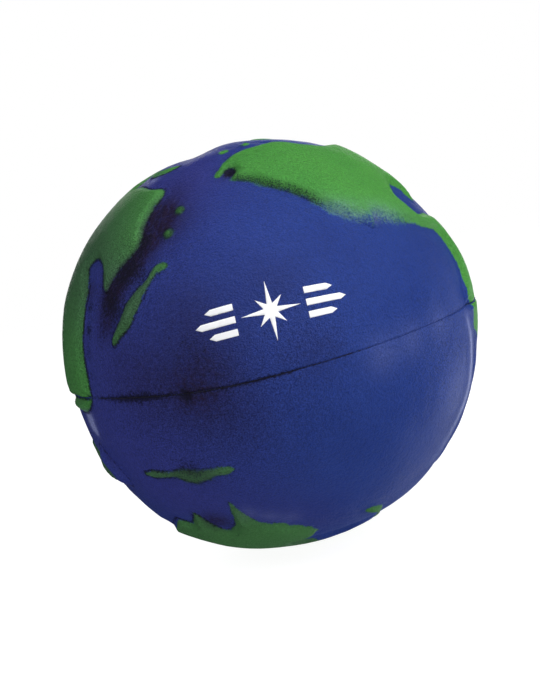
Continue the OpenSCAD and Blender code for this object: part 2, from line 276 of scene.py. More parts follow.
class Globe:
    """The map moulded on the ball: which land lies where, and how far each place is from a coast."""

    WELD = 2e-6
    SKIM = 0.02

    def __init__(self):
        corners, faces, owners, edges, probes, edge_owners = [], [], [], [], [], []
        for number, node in enumerate(LANDS):
            face = self.outer_face(node, LAND_R)
            first = len(corners)
            corners += [v.co.copy() for v in face.verts]
            faces += [[first + v.index for v in f.verts] for f in face.faces]
            owners += [number] * len(face.faces)
            for edge in face.edges:
                if edge.is_boundary:
                    middle = (edge.verts[0].co + edge.verts[1].co) / 2
                    outward = (middle - edge.link_faces[0].calc_center_median()).normalized()
                    edges.append([edge.verts[0].co / MM, edge.verts[1].co / MM])
                    probes.append([middle / MM, outward])
                    edge_owners.append(number)
            face.free()
        self.faces = BVHTree.FromPolygons(corners, faces)
        self.owners = np.array(owners)
        edges, probes, edge_owners = np.array(edges), np.array(probes), np.array(edge_owners)
        self.outlines = [Outline(*edges[edge_owners == n].swapaxes(0, 1)) for n in range(len(LANDS))]
        # an edge with land just past it isn't a coast; at the flash the next land starts past its width
        past = np.where(np.abs(probes[:, 0, 2]) < FLASH_HALF + self.SKIM, 2 * FLASH_HALF + 0.1, 0.06)
        beyond = self.land_at(unit(probes[:, 0] + past[:, None] * probes[:, 1]), False)
        self.coast = Outline(*edges[beyond < 0].swapaxes(0, 1))

    def outer_face(self, node, radius):
        """The part of a CAD solid that lies on the sphere of that radius in millimetres."""
        face = bmesh.new()
        face.from_mesh(frame["nodes"][node].data)
        bmesh.ops.remove_doubles(face, verts=face.verts, dist=self.WELD)
        sunk = [v for v in face.verts if v.co.length < (radius - self.SKIM) * MM]
        bmesh.ops.delete(face, geom=sunk, context="VERTS")
        face.verts.index_update()
        return face

    def land_at(self, directions, across_flash=True):
        """The number of the land over each direction, or -1 over open sea."""
        if across_flash:
            directions = directions.copy()
            clear = (FLASH_HALF + self.SKIM) / LAND_R
            near = np.abs(directions[:, 2]) < clear
            directions[near, 2] = np.where(directions[near, 2] < 0, -clear, clear)
            directions = unit(directions)
        centre = Vector((0, 0, 0))
        hits = [self.faces.ray_cast(centre, d)[2] for d in directions.tolist()]
        return np.array([-1 if hit is None else self.owners[hit] for hit in hits])

    def shore(self, directions):
        """Millimetres from the nearest coast, positive on land."""
        away = self.coast.distance(directions * LAND_R)
        return np.where(self.land_at(directions) >= 0, away, -away)

    def own_edge(self, directions, number):
        """Millimetres from the edge of one land node, positive inside it."""
        away = self.outlines[number].distance(directions * LAND_R)
        return np.where(self.land_at(directions, False) == number, away, -away)


class FoamSizes(bpy.types.PropertyGroup):
    """Sizes that the foam and the paint add to the frame."""

    foot: FloatProperty(
        name="Foot", description="How far the land's slope runs out under the sea paint",
        default=0.2 * MM, unit="LENGTH")
    shoulder: FloatProperty(
        name="Shoulder", description="How far inside its coast the land reaches its full height",
        default=1.5 * MM, unit="LENGTH")
    crown: FloatProperty(
        name="Crown", description="How much the middle of a land swells",
        default=0.12 * MM, unit="LENGTH")
    shrink: FloatProperty(
        name="Shrink", description="How much of the land's height the foam lost as it cooled",
        default=0.15, min=0, max=0.5)
    moat: FloatProperty(
        name="Moat", description="Depth of the hollow along the foot of the land",
        default=0.08 * MM, unit="LENGTH")
    lump: FloatProperty(
        name="Lump", description="Height of the soft lumps that uneven foaming leaves",
        default=0.1 * MM, unit="LENGTH")
    dimple: FloatProperty(
        name="Dimple", description="Height of the fine unevenness of the skin",
        default=0.012 * MM, unit="LENGTH")
    seam_depth: FloatProperty(
        name="Seam depth", description="Depth of the groove at the parting line",
        default=0.24 * MM, unit="LENGTH")
    seam_width: FloatProperty(
        name="Seam width", description="Half the width of the groove at the parting line",
        default=0.1 * MM, unit="LENGTH")
    film: FloatProperty(
        name="Ink film", description="How far the printed ink stands on the skin",
        default=0.03 * MM, unit="LENGTH")
    sea_cells: IntProperty(
        name="Sea cells", description="Cells along each side of a sea skin's grid, a multiple of 4",
        default=280, min=16)
    land_cell: FloatProperty(
        name="Land cell", description="Width of one cell of a land's grid",
        default=0.17 * MM, unit="LENGTH")


class FoamColours(bpy.types.PropertyGroup):
    """Colours of the paints, the dirt, the painted shade and highlights, and the bare foam."""

    sea: FloatVectorProperty(
        name="Sea", description="Blue flexible paint", subtype="COLOR", default=linear("#243d88"))
    sea_deep: FloatVectorProperty(
        name="Deep sea", description="The same blue where it lies thick", subtype="COLOR",
        default=linear("#1e357c"))
    land: FloatVectorProperty(
        name="Land", description="Green flexible paint", subtype="COLOR", default=linear("#4d9540"))
    land_deep: FloatVectorProperty(
        name="Deep land", description="The same green where it lies thick", subtype="COLOR",
        default=linear("#42893b"))
    land_dull: FloatVectorProperty(
        name="Shaded land", description="The same green, darker and greyer, as painted shade",
        subtype="COLOR", default=linear("#3b5f40"))
    violet: FloatVectorProperty(
        name="Violet", description="The blue where it leans to violet", subtype="COLOR",
        default=linear("#31377e"))
    painted_shade: FloatVectorProperty(
        name="Painted shade", description="Purple painted shade in hollows and along coasts", subtype="COLOR",
        default=linear("#1d1230"))
    soot_and_shade: FloatVectorProperty(
        name="Soot and shade", description="Dirt and burnt foam at the seam, and painted shade", subtype="COLOR",
        default=linear("#0b0a1c"))
    pale: FloatVectorProperty(
        name="Pale", description="Green dust over blue where the spray faded", subtype="COLOR",
        default=linear("#7591a0"))
    rub_and_highlight: FloatVectorProperty(
        name="Rub and highlight", description="Skin scraped pale, and painted highlight", subtype="COLOR", default=linear("#a3abdd"))
    ink: FloatVectorProperty(
        name="Ink", description="White pad-print ink", subtype="COLOR", default=linear("#fdfdfd"))
    foam: FloatVectorProperty(
        name="Foam", description="Bare foam inside", subtype="COLOR", default=linear("#c6c7d2"))


class StudioSettings(bpy.types.PropertyGroup):
    """Camera and light."""

    distance: FloatProperty(
        name="Distance", description="From the camera to the ball's centre", default=0.2186,
        unit="LENGTH")
    elevation: FloatProperty(
        name="Elevation", description="Height of the camera above the ball's equator",
        default=math.radians(7.8), subtype="ANGLE")
    roll: FloatProperty(
        name="Roll", description="How far the ball leans to the left in the view",
        default=math.radians(12.7), subtype="ANGLE")
    aim: FloatProperty(
        name="Aim", description="How far below the ball's centre the camera looks",
        default=math.radians(0.313), subtype="ANGLE")
    lens: FloatProperty(
        name="Lens", description="Focal length in millimetres", default=73.4)


def surface(directions, shore, side):
    """Radius in millimetres of the moulded surface, with the groove at the parting line."""
    sizes = bpy.context.scene.foam_sizes
    foot, shoulder = sizes.foot / MM, sizes.shoulder / MM
    points = directions * SEA_R
    full = (LAND_R - SEA_R) * (1 - sizes.shrink * (1 + ripples(points, 17, 10)))
    full *= 1 - np.clip(patches(directions, LOW), 0, 0.8)
    shoulder *= 1 + 0.35 * ripples(points, 5, 13)
    rise = full * smooth((shore + foot) / (foot + shoulder))
    rise += sizes.crown / MM * (1 - np.exp(-np.maximum(shore - shoulder, 0) / 3))
    rise -= sizes.moat / MM * np.exp(-(((shore + 1.1) / 0.8) ** 2))
    return ground(directions) + rise - seam_groove(points, side)


def ground(directions):
    """Radius in millimetres of the sea's floor, which every land stands on."""
    sizes = bpy.context.scene.foam_sizes
    points = directions * SEA_R
    lumps = sizes.lump / MM * (ripples(points, 21, 3) + 0.5 * ripples(points, 9, 4))
    fine = sizes.dimple / MM * (ripples(points, 2.6, 5) + 0.7 * ripples(points, 1.3, 6))
    return SEA_R + lumps + fine - patches(directions, DENTS)


def longitude(points):
    """Longitude of each point, in degrees."""
    return np.degrees(np.arctan2(points[:, 0], -points[:, 1]))


def seam_grime(points):
    """How dirty the parting line is: black on the front's left, nearly clean on its right."""
    lon = longitude(points)
    dirty = 0.1 + 0.6 * np.exp(-(((lon + 20) / 52) ** 4)) + 0.4 * (np.abs(lon) > 95)
    dirty += hills(lon, [(74, 7, 0.25)]) + 0.22 * ripples(points, 9, 9)
    return np.clip(dirty, 0, 1)


def seam_groove(points, side):
    """Depth in millimetres of the groove where the halves meet, less or more the moulds' mismatch."""
    sizes = bpy.context.scene.foam_sizes
    tear = ripples(points, 1.7, 7) + 0.6 * ripples(points, 0.7, 8)
    width = sizes.seam_width / MM * (1 + 0.35 * tear)
    groove = sizes.seam_depth / MM * (1 + 0.25 * tear) * np.exp(-((points[:, 2] / width) ** 2))
    groove *= 0.4 + 0.6 * seam_grime(points)
    return groove - side * hills(longitude(points), MISMATCH) * np.exp(-np.abs(points[:, 2]) / 5)


def settle(points):
    """Points in millimetres, moved up or down to follow the parting line, which isn't quite flat."""
    lon = longitude(points)
    behind = smooth((np.abs(lon) - 90) / 30)
    wave = hills(lon, WANDER) + 0.25 * np.sin(np.radians(2 * lon + 40)) * behind
    moved = points.copy()
    moved[:, 2] += wave * np.exp(-((points[:, 2] / 7) ** 2))
    return moved


def paint_marks(directions, shore):
    """What the materials need to know at each point of the skin, one number each."""
    inland = np.clip(shore, 0, None)
    points = directions * SEA_R
    lon = longitude(points)
    soot_and_shade, painted_shade, charred_and_shaded, faded, green_shade, rubs_and_highlights, grainy, violet = (
        np.clip(patches(directions, places), 0, 1)
        for places in (SOOT_AND_SHADE, PAINTED_SHADE, CHARRED_AND_SHADED, FADED, GREEN_SHADE, RUBS_AND_HIGHLIGHTS, GRAINY, VIOLET))
    rim = np.where(shore > 0, np.exp(-((inland / 1.6) ** 2)), np.exp(-((shore / 0.45) ** 2)))
    # grime clings to the seam, most of all on the front's left; at the foot of steep coasts the dark fringe
    # is dirt and painted shade of the step, stronger on the left
    front_left = hills(lon, [(-34, 40, 1)])
    near = 0.7 * np.exp(-np.abs(points[:, 2]) / (0.25 + 0.2 * front_left))
    near += 0.5 * front_left * np.exp(-((points[:, 2] / 1.8) ** 2))
    seam = seam_grime(points) * near
    # painted shade: the coasts' dark fringe is made stronger on the ball's left
    left = smooth((-lon - 10) / 40) * (np.abs(lon) < 120)
    foot = (0.45 + 0.4 * left) * np.exp(-(((shore + 0.08) / 0.38) ** 2))
    missed = patches(directions, MISSED)
    return {
        "coast": (
            shore - MISSED_REACH * missed + 0.16 * ripples(points, 2.4, 11)
            + 0.08 * ripples(points, 1.1, 12)),
        "ragged": 0.9 + 0.6 * charred_and_shaded + 5 * faded,
        "soft": 0.06 + 0.9 * faded + 0.25 * charred_and_shaded,
        # dark specks, partly dirt and partly painted shade, thinning inland
        "soot_and_shade": soot_and_shade * np.clip(1.1 - inland / 0.9, 0.25, 1),
        # painted shade: purple darkening in hollows and along coasts, fading inland
        "painted_shade": painted_shade * np.clip(1 - inland / 0.8, 0, 1),
        # dark specks at the coast: overspray, and painted shade at Australia and by Japan
        "char_and_shade": 0.75 * charred_and_shaded * rim,
        "fade": faded * np.exp(-inland / 2.2) * (shore > -1.5),
        "grime_and_shade": np.clip(np.maximum(seam, foot * np.clip(1 - missed, 0.4, 1)), 0, 1),
        # painted shade on the green of the left and underside
        "green_shade": green_shade,
        # painted highlights along limbs and ridges, and a few real rubs
        "rubs_and_highlights": rubs_and_highlights,
        "grainy": grainy,
        "violet": violet,
    }


def make_piece(name, points, triangles, marks=None):
    """A smooth mesh in metres, from points in millimetres, with its marks."""
    mesh = bpy.data.meshes.new(name)
    mesh.vertices.add(len(points))
    mesh.vertices.foreach_set("co", (points * MM).astype(np.float32).ravel())
    mesh.loops.add(3 * len(triangles))
    mesh.loops.foreach_set("vertex_index", triangles.astype(np.int32).ravel())
    mesh.polygons.add(len(triangles))
    mesh.polygons.foreach_set("loop_start", np.arange(0, 3 * len(triangles), 3, dtype=np.int32))
    mesh.update(calc_edges=True)
    for mark, values in (marks or {}).items():
        attribute = mesh.attributes.new(mark, "FLOAT", "POINT")
        attribute.data.foreach_set("value", values.astype(np.float32))
    mesh.shade_smooth()
    piece = bpy.data.objects.new(name, mesh)
    bpy.context.scene.collection.objects.link(piece)
    return piece


def hand_over(piece, node, material):
    """Lets a finished piece stand for its CAD node: it rides and is painted as that does."""
    piece.data.materials.clear()
    piece.data.materials.append(material)
    body = BODY_OF[node]
    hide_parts(node)
    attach(piece, body)
    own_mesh(piece)


def edges_of(triangles):
    """The three directed edges of every triangle, one pair of corners each."""
    return np.concatenate([triangles[:, [0, 1]], triangles[:, [1, 2]], triangles[:, [2, 0]]])


def grid(count):
    """Triangles over a square grid of count by count cells, and its rim, both anticlockwise."""
    corner = np.arange((count + 1) ** 2).reshape(count + 1, count + 1)
    a, b, c, d = corner[:-1, :-1], corner[1:, :-1], corner[1:, 1:], corner[:-1, 1:]
    triangles = np.concatenate([np.stack(half, -1).reshape(-1, 3) for half in ([a, b, c], [a, c, d])])
    rim = np.concatenate([corner[:-1, 0], corner[-1, :-1], corner[:0:-1, -1], corner[0, :0:-1]])
    return triangles, rim


def cap(count, lowest):
    """Directions over the top of a sphere down to the height lowest, on a grid of equal areas."""
    x, y = np.meshgrid(np.linspace(-1, 1, count + 1), np.linspace(-1, 1, count + 1), indexing="ij")
    wide = np.abs(x) > np.abs(y)
    reach = np.where(wide, x, y)
    safe = np.where(reach == 0, 1, reach)
    turn = np.where(wide, math.pi / 4 * y / safe, math.pi / 2 - math.pi / 4 * x / safe)
    height = 1 - (1 - lowest) * reach**2
    level = np.sqrt(1 - height**2)
    sign = np.sign(reach)
    points = np.stack([sign * level * np.cos(turn), sign * level * np.sin(turn), height], -1)
    # relaxing takes out the crease that the grid has along its diagonals
    for _ in range(RELAX_ROUNDS):
        around = points[:-2, 1:-1] + points[2:, 1:-1] + points[1:-1, :-2] + points[1:-1, 2:]
        points[1:-1, 1:-1] = unit(points[1:-1, 1:-1] + around / 4)
    return points.reshape(-1, 3)


def closed_shell(top, bottom, triangles):
    """Closes an open sheet: its outer points, a copy further in, and walls round its edge."""
    count = len(top)
    pairs = edges_of(triangles)
    key = pairs[:, 0] * count + pairs[:, 1]
    edge = pairs[~np.isin(key, pairs[:, 1] * count + pairs[:, 0])]
    walls = np.concatenate([
        np.stack([edge[:, 1], edge[:, 0], edge[:, 0] + count], -1),
        np.stack([edge[:, 1], edge[:, 0] + count, edge[:, 1] + count], -1)])
    return np.concatenate([top, bottom]), np.concatenate([triangles, triangles[:, ::-1] + count, walls])


def trimmed(points, triangles, inside):
    """The part of a sheet where inside is above 0, cut straight across its triangles."""
    inside = np.where(np.abs(inside) < 1e-3, 1e-3, inside)
    kept = inside > 0
    pairs = np.sort(edges_of(triangles), 1)
    pairs = np.unique(pairs[kept[pairs[:, 0]] != kept[pairs[:, 1]]], axis=0)
    share = inside[pairs[:, 0]] / (inside[pairs[:, 0]] - inside[pairs[:, 1]])
    crossings = points[pairs[:, 0]] + share[:, None] * (points[pairs[:, 1]] - points[pairs[:, 0]])
    keys = pairs[:, 0] * len(points) + pairs[:, 1]

    def crossing(a, b):
        key = np.minimum(a, b) * len(points) + np.maximum(a, b)
        return len(points) + np.searchsorted(keys, key)

    parts = [triangles[kept[triangles].all(1)]]
    count = kept[triangles].sum(1)
    for turn in range(3):
        a, b, c = np.roll(triangles, -turn, 1).T
        one = (count == 1) & kept[a]
        parts.append(np.stack([a, crossing(a, b), crossing(a, c)], -1)[one])
        two = (count == 2) & ~kept[a]
        parts.append(np.stack([crossing(a, b), b, c], -1)[two])
        parts.append(np.stack([crossing(a, b), c, crossing(a, c)], -1)[two])
    triangles = np.concatenate(parts)
    used, triangles = np.unique(triangles, return_inverse=True)
    return np.concatenate([points, crossings])[used], triangles.reshape(-1, 3)


def add(tree, kind, inputs=None, out=0, **settings):
    """Adds a node with its settings, fills or links its inputs, and gives one of its outputs."""
    node = tree.nodes.new(kind)
    for name, value in settings.items():
        setattr(node, name, value)
    for name, value in (inputs or {}).items():
        if isinstance(value, bpy.types.NodeSocket):
            tree.links.new(value, node.inputs[name])
        else:
            node.inputs[name].default_value = value
    return node.outputs[out] if len(node.outputs) else node


# Settings of an add call that mixes two colours
MIX = {"out": 2, "data_type": "RGBA"}


def opaque(colour):
    """The colour with nothing showing through it."""
    return (*colour, 1.0)


def new_material(name):
    """An empty material, its node tree, and where each shaded point lies on the object."""
    material = bpy.data.materials.new(name)
    material.use_nodes = True
    tree = material.node_tree
    tree.nodes.clear()
    return material, tree, add(tree, "ShaderNodeTexCoord", out="Object")


def speckled(tree, amount, specks, reach=0.5):
    """A mask of sharp specks, which grow together as amount nears 1."""
    # the noise hardly ever passes the top, so that no amount gives no specks
    top, sharpness = 0.74, 7.0
    low = add(tree, "ShaderNodeMath", {0: amount, 1: -reach, 2: top}, operation="MULTIPLY_ADD")
    over = add(tree, "ShaderNodeMath", {0: specks, 1: low}, operation="SUBTRACT")
    return add(tree, "ShaderNodeMath", {0: over, 1: sharpness}, operation="MULTIPLY", use_clamp=True)


def sprayed_foam(name, roughness):
    """Self-skinned polyurethane foam under flexible sprayed paint, blue sea with green land.

    The skin copies the mould's blasted face, so it has a fine grain and a soft satin sheen. Paint
    sprayed through a mask leaves a speckled edge, darker where it is thick. Painted shade darkens
    the hollows, the foot of the coasts and the ball's left and underside, and painted highlights
    pale it along the limbs and ridges.
    """
    colours = bpy.context.scene.foam_colours
    material, tree, where = new_material(name)
    mark = {m: add(tree, "ShaderNodeAttribute", out="Fac", attribute_name=m) for m in MARKS}
    # each noise: size of its grain in millimetres, detail, roughness
    grains = {
        "speck": (0.36, 3, 0.85), "grit": (0.2, 2, 0.7), "mottle": (0.55, 3, 0.6), "cloud": (11, 3, 0.6)}
    grain = {
        g: add(tree, "ShaderNodeTexNoise", {
            "Vector": where, "Scale": 1 / (size * MM), "Detail": detail, "Roughness": rough})
        for g, (size, detail, rough) in grains.items()}

    # where the green ends: its distance inside the coast, made ragged by the specks
    swing = add(tree, "ShaderNodeMath", {0: grain["speck"], 1: 0.5}, operation="SUBTRACT")
    edge = add(tree, "ShaderNodeMath", {0: swing, 1: mark["ragged"], 2: mark["coast"]},
               operation="MULTIPLY_ADD")
    low = add(tree, "ShaderNodeMath", {0: mark["soft"], 1: -1.0}, operation="MULTIPLY")
    green = add(tree, "ShaderNodeMapRange", {"Value": edge, "From Min": low, "From Max": mark["soft"]})

    tone = add(tree, "ShaderNodeMath", {0: grain["cloud"], 1: grain["mottle"]}, operation="ADD")
    tone = add(tree, "ShaderNodeMapRange", {"Value": tone, "From Min": 0.75, "From Max": 1.25})
    sea = add(tree, "ShaderNodeMix", {0: tone, 6: opaque(colours.sea_deep), 7: opaque(colours.sea)}, **MIX)
    sea = add(tree, "ShaderNodeMix", {0: mark["violet"], 6: sea, 7: opaque(colours.violet)}, **MIX)
    land = add(tree, "ShaderNodeMix", {
        0: tone, 6: opaque(colours.land_deep), 7: opaque(colours.land)}, **MIX)
    # painted shade: the green darkened and greyed on the left and underside
    land = add(tree, "ShaderNodeMix", {0: mark["green_shade"], 6: land, 7: opaque(colours.land_dull)}, **MIX)
    fade = speckled(tree, mark["fade"], grain["speck"])
    fade = add(tree, "ShaderNodeMath", {0: fade, 1: 0.25}, operation="MULTIPLY")
    haze = add(tree, "ShaderNodeMath", {0: mark["fade"], 1: 0.3, 2: fade},
               operation="MULTIPLY_ADD", use_clamp=True)
    land = add(tree, "ShaderNodeMix", {0: haze, 6: land, 7: opaque(colours.pale)}, **MIX)
    paint = add(tree, "ShaderNodeMix", {0: green, 6: sea, 7: land}, **MIX)

    # painted highlights and rubs: pale specks that grow together where the mark is strong
    rub_and_highlight_mask = speckled(tree, mark["rubs_and_highlights"], grain["speck"])
    rub_and_highlight_mask = add(tree, "ShaderNodeMath", {0: rub_and_highlight_mask, 1: 0.3}, operation="MULTIPLY")
    rub_and_highlight_mask = add(tree, "ShaderNodeMath", {0: mark["rubs_and_highlights"], 1: 0.25, 2: rub_and_highlight_mask}, operation="MULTIPLY_ADD")
    # painted shade: the purple darkening, broken up by the mottle
    painted_shade = add(tree, "ShaderNodeMath", {0: grain["mottle"], 1: 1.5, 2: 0.2}, operation="MULTIPLY_ADD")
    painted_shade = add(tree, "ShaderNodeMath", {0: mark["painted_shade"], 1: painted_shade}, operation="MULTIPLY")
    # the dark colour lays dirt and painted shade alike
    dirt_and_shade = 0
    for m, specks in (("soot_and_shade", "speck"), ("char_and_shade", "grit"), ("grime_and_shade", "speck")):
        mask = speckled(tree, mark[m], grain[specks])
        dirt_and_shade = add(tree, "ShaderNodeMath", {0: dirt_and_shade, 1: mask}, operation="MAXIMUM")
    dirt_and_shade = add(tree, "ShaderNodeMath", {0: dirt_and_shade, 1: 0.85}, operation="MULTIPLY")
    for mask, colour in ((rub_and_highlight_mask, colours.rub_and_highlight), (painted_shade, colours.painted_shade), (dirt_and_shade, colours.soot_and_shade)):
        paint = add(tree, "ShaderNodeMix", {0: mask, 6: paint, 7: opaque(colour)}, **MIX)
    # the grain of the skin shows as a flicker of tone, most where it holds dirt
    depth = add(tree, "ShaderNodeMath", {0: mark["grainy"], 1: 2.6, 2: 1.0}, operation="MULTIPLY_ADD")
    swing = add(tree, "ShaderNodeMath", {0: grain["grit"], 1: 0.5}, operation="SUBTRACT")
    flicker = add(tree, "ShaderNodeMath", {0: swing, 1: depth, 2: 1.0}, operation="MULTIPLY_ADD")
    paint = add(tree, "ShaderNodeVectorMath", {0: paint, "Scale": flicker}, operation="SCALE")

    rough = add(tree, "ShaderNodeMapRange", {
        "Value": grain["mottle"], "From Min": 0.3, "From Max": 0.7,
        "To Min": roughness - 0.06, "To Max": roughness + 0.08})
    rough = add(tree, "ShaderNodeMath", {0: dirt_and_shade, 1: 0.3, 2: rough}, operation="MULTIPLY_ADD")
    height = add(tree, "ShaderNodeMath", {0: grain["mottle"], 1: 1.2, 2: grain["grit"]},
                 operation="MULTIPLY_ADD")
    bump = add(tree, "ShaderNodeBump", {"Strength": 1.0, "Distance": 0.2 * MM, "Height": height})
    shader = add(tree, "ShaderNodeBsdfPrincipled", {
        "Base Color": paint, "Roughness": rough, "Normal": bump, "Specular IOR Level": 0.13})
    add(tree, "ShaderNodeOutputMaterial", {"Surface": shader})
    return material


def torn_foam(name):
    """Torn foam of the mould's joint: matt, blue where it is clean and nearly black with soot elsewhere."""
    colours = bpy.context.scene.foam_colours
    material, tree, where = new_material(name)
    grime_and_shade = add(tree, "ShaderNodeAttribute", out="Fac", attribute_name="grime_and_shade")
    grain = add(tree, "ShaderNodeTexNoise", {"Vector": where, "Scale": 1 / (0.3 * MM), "Detail": 3})
    dirt_and_shade = speckled(tree, grime_and_shade, grain, reach=0.6)
    colour = add(tree, "ShaderNodeMix", {
        0: dirt_and_shade, 6: opaque(colours.sea_deep), 7: opaque(colours.soot_and_shade)}, **MIX)
    bump = add(tree, "ShaderNodeBump", {"Strength": 0.8, "Distance": 0.05 * MM, "Height": grain})
    shader = add(tree, "ShaderNodeBsdfPrincipled", {"Base Color": colour, "Roughness": 0.85, "Normal": bump})
    add(tree, "ShaderNodeOutputMaterial", {"Surface": shader})
    return material


def pad_print_ink(name):
    """Opaque white pad-print ink: a thin satin film that dips into the skin's grain, with pinholes."""
    colours = bpy.context.scene.foam_colours
    material, tree, where = new_material(name)
    grain = add(tree, "ShaderNodeTexNoise", {"Vector": where, "Scale": 1 / (0.2 * MM), "Detail": 3})
    pinholes = add(tree, "ShaderNodeMapRange", {"Value": grain, "From Min": 0.72, "From Max": 0.78})
    thin = add(tree, "ShaderNodeMath", {0: pinholes, 1: 0.5}, operation="MULTIPLY")
    colour = add(tree, "ShaderNodeMix", {0: thin, 6: opaque(colours.ink), 7: opaque(colours.sea)}, **MIX)
    bump = add(tree, "ShaderNodeBump", {"Strength": 0.35, "Distance": 0.02 * MM, "Height": grain})
    shader = add(tree, "ShaderNodeBsdfPrincipled", {"Base Color": colour, "Roughness": 0.42, "Normal": bump})
    add(tree, "ShaderNodeOutputMaterial", {"Surface": shader})
    return material


def bare_foam(name):
    """Cellular polyurethane foam, cut or torn: matt, off-white, with darker cells."""
    colours = bpy.context.scene.foam_colours
    material, tree, where = new_material(name)
    cells = add(tree, "ShaderNodeTexVoronoi", {"Vector": where, "Scale": 1 / (0.9 * MM)})
    shade = add(tree, "ShaderNodeMapRange", {"Value": cells, "From Max": 0.7, "To Min": 0.45, "To Max": 1.0})
    colour = add(tree, "ShaderNodeVectorMath", {0: colours.foam, "Scale": shade}, operation="SCALE")
    bump = add(tree, "ShaderNodeBump", {"Strength": 0.6, "Distance": 0.1 * MM, "Height": cells})
    shader = add(tree, "ShaderNodeBsdfPrincipled", {"Base Color": colour, "Roughness": 0.9, "Normal": bump})
    add(tree, "ShaderNodeOutputMaterial", {"Surface": shader})
    return material


def node_tree(name, inputs):
    """A Geometry Nodes tree with a geometry going in and out and the named inputs."""
    tree = bpy.data.node_groups.new(name, "GeometryNodeTree")
    tree.interface.new_socket("Geometry", in_out="OUTPUT", socket_type="NodeSocketGeometry")
    tree.interface.new_socket("Geometry", in_out="INPUT", socket_type="NodeSocketGeometry")
    for label, kind in inputs.items():
        tree.interface.new_socket(label, in_out="INPUT", socket_type="NodeSocket" + kind)
    return tree, tree.nodes.new("NodeGroupInput").outputs


def grown(name, tree, values, base):
    """The plain mesh that a tree makes from a base mesh, as a new object."""
    host = bpy.data.objects.new(name + "_host", base)
    bpy.context.scene.collection.objects.link(host)
    modifier = host.modifiers.new("grow", "NODES")
    modifier.node_group = tree
    for item in tree.interface.items_tree:
        if item.in_out == "INPUT" and item.name in values:
            modifier[item.identifier] = values[item.name]
    depsgraph = bpy.context.evaluated_depsgraph_get()
    mesh = bpy.data.meshes.new_from_object(host.evaluated_get(depsgraph), depsgraph=depsgraph)
    bpy.data.objects.remove(host)
    mesh.name = name
    work = bmesh.new()
    work.from_mesh(mesh)
    bmesh.ops.recalc_face_normals(work, faces=work.faces)
    work.to_mesh(mesh)
    work.free()
    piece = bpy.data.objects.new(name, mesh)
    bpy.context.scene.collection.objects.link(piece)
    return piece


def torn_fin_tree():
    """A ragged fin along the path that goes in, with torn nibs scattered on it."""
    tree, given = node_tree("torn_fin", {
        "Fin Radius": "Float", "Step": "Float", "Tear": "Float", "Nibs": "Int", "Nib Size": "Float",
        "Spread": "Float", "Seed": "Int", "Material": "Material"})
    path = add(tree, "GeometryNodeMeshToCurve", {"Mesh": given["Geometry"]})
    even = add(tree, "GeometryNodeResampleCurve", {"Curve": path, "Length": given["Step"]}, mode="LENGTH")
    profile = add(tree, "GeometryNodeCurvePrimitiveCircle", {"Resolution": 8, "Radius": given["Fin Radius"]})
    fin = add(tree, "GeometryNodeCurveToMesh", {"Curve": even, "Profile Curve": profile})
    place = add(tree, "GeometryNodeInputPosition")
    noise = add(tree, "ShaderNodeTexNoise", {"Vector": place, "Scale": 1 / (0.45 * MM), "Detail": 2.0}, out=1)
    push = add(tree, "ShaderNodeVectorMath", {0: noise, 1: (0.5, 0.5, 0.5)}, operation="SUBTRACT")
    push = add(tree, "ShaderNodeVectorMath", {0: push, "Scale": given["Tear"]}, operation="SCALE")
    fin = add(tree, "GeometryNodeSetPosition", {"Geometry": fin, "Offset": push})

    spots = add(tree, "GeometryNodeCurveToPoints", {"Curve": path, "Count": given["Nibs"]}, mode="COUNT")
    low = add(tree, "ShaderNodeVectorMath", {0: (-1, -1, -1), "Scale": given["Spread"]}, operation="SCALE")
    high = add(tree, "ShaderNodeVectorMath", {0: (1, 1, 1), "Scale": given["Spread"]}, operation="SCALE")
    jitter = add(tree, "FunctionNodeRandomValue", {0: low, 1: high, "Seed": given["Seed"]},
                 data_type="FLOAT_VECTOR")
    spots = add(tree, "GeometryNodeSetPosition", {"Geometry": spots, "Offset": jitter})
    nib = add(tree, "GeometryNodeMeshIcoSphere", {"Radius": given["Nib Size"], "Subdivisions": 2})
    stretch = add(tree, "FunctionNodeRandomValue", {
        0: (0.35, 0.35, 0.35), 1: (1.3, 1.3, 1.3), "Seed": given["Seed"]}, data_type="FLOAT_VECTOR")
    spin = add(tree, "FunctionNodeRandomValue", {
        0: (0, 0, 0), 1: (math.tau, math.tau, math.tau), "Seed": given["Seed"]}, data_type="FLOAT_VECTOR")
    nibs = add(tree, "GeometryNodeInstanceOnPoints", {
        "Points": spots, "Instance": nib, "Scale": stretch, "Rotation": spin})
    solid = add(tree, "GeometryNodeRealizeInstances", {"Geometry": nibs})
    join = add(tree, "GeometryNodeJoinGeometry", {"Geometry": solid})
    tree.links.new(fin, join.node.inputs["Geometry"])
    soft = add(tree, "GeometryNodeSetShadeSmooth", {"Geometry": join})
    painted = add(tree, "GeometryNodeSetMaterial", {"Geometry": soft, "Material": given["Material"]})
    add(tree, "NodeGroupOutput", {"Geometry": painted})
    return tree


